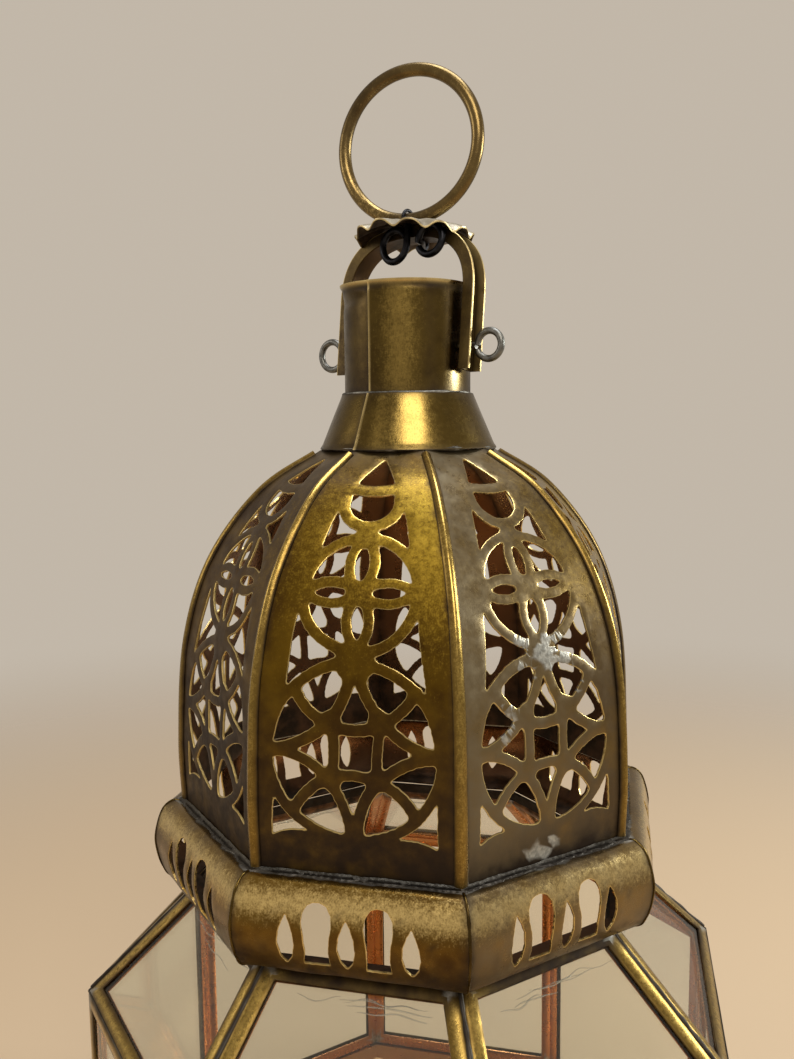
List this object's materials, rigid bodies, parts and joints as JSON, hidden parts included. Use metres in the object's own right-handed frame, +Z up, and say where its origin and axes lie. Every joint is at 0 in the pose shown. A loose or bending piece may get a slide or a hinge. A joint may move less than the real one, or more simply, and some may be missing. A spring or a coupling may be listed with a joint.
{
  "type": "brass lantern",
  "caption": "Octagonal brass candle lantern with a fretted dome, rolled pierced collar, glass panes in grooved strips, hinged door, chimney, swinging bail and hanging ring.",
  "frame": {"origin": "centre of the foot, on the surface that the lantern stands on", "axes": "+Z up along the lantern's axis; the door's face looks along -Y; the bail's pivots lie 22.5 degrees clockwise of the X axis"},
  "size_m": [0.236, 0.236, 0.4754],
  "materials": {
    "antique_brass": "patinated satin",
    "worn_brass": "satin, worn bright",
    "tarnished_brass": "dull, tarnished grey",
    "black_iron": "black, annealed wire",
    "grey_iron": "grey wire, slightly shiny",
    "clear_glass": "clear sheet glass"
  },
  "bodies": {
    "lantern": {"base_pan": "antique_brass", "candle_cup": "antique_brass", "lower_glazing_frame": "worn_brass", "upper_glazing_frame": "worn_brass", "door_hinge_pin": "antique_brass", "lower_glass_2": "clear_glass", "lower_glass_3": "clear_glass", "lower_glass_4": "clear_glass", "lower_glass_5": "clear_glass", "lower_glass_6": "clear_glass", "lower_glass_7": "clear_glass", "lower_glass_8": "clear_glass", "upper_glass_1": "clear_glass", "upper_glass_2": "clear_glass", "upper_glass_3": "clear_glass", "upper_glass_4": "clear_glass", "upper_glass_5": "clear_glass", "upper_glass_6": "clear_glass", "upper_glass_7": "clear_glass", "upper_glass_8": "clear_glass", "collar_segment_1": "antique_brass", "collar_segment_2": "antique_brass", "collar_segment_3": "antique_brass", "collar_segment_4": "antique_brass", "collar_segment_5": "antique_brass", "collar_segment_6": "antique_brass", "collar_segment_7": "antique_brass", "collar_segment_8": "antique_brass", "dome_panel_1": "antique_brass", "dome_panel_2": "antique_brass", "dome_panel_3": "antique_brass", "dome_panel_4": "antique_brass", "dome_panel_5": "antique_brass", "dome_panel_6": "antique_brass", "dome_panel_7": "antique_brass", "dome_panel_8": "antique_brass", "dome_bead_1": "worn_brass", "dome_bead_2": "worn_brass", "dome_bead_3": "worn_brass", "dome_bead_4": "worn_brass", "dome_bead_5": "worn_brass", "dome_bead_6": "worn_brass", "dome_bead_7": "worn_brass", "dome_bead_8": "worn_brass", "neck_cone": "worn_brass", "chimney_tube": "antique_brass", "bail_eye_left": "grey_iron", "bail_eye_right": "grey_iron"},
    "door": {"door_frame": "worn_brass", "door_glass": "clear_glass"},
    "latch": {"door_latch": "antique_brass"},
    "bail": {"bail_strap": "antique_brass", "crown_washer": "tarnished_brass", "ring_tie_wire": "black_iron"},
    "ring": {"hanging_ring": "worn_brass"}
  },
  "joints": [
    {"name": "bail_swing", "type": "hinge", "parent": "lantern", "child": "bail", "pos_m": [0, 0, 0.3728], "axis": [0.9239, -0.3827, 0], "range_deg": [-80, 90]},
    {"name": "ring_tilt", "type": "hinge", "parent": "bail", "child": "ring", "pos_m": [0.00034, 0.00566, 0.42055], "axis": [0.9834, -0.1817, 0], "range_deg": [-65, 65]},
    {"name": "door_hinge", "type": "hinge", "parent": "lantern", "child": "door", "pos_m": [-0.04361, -0.11548, 0.075], "axis": [0, 0, -1], "range_deg": [0, 110]},
    {"name": "latch_turn", "type": "hinge", "parent": "lantern", "child": "latch", "pos_m": [0, -0.1141, 0.13535], "axis": [0, 1, 0], "range_deg": [0, 90]}
  ]
}
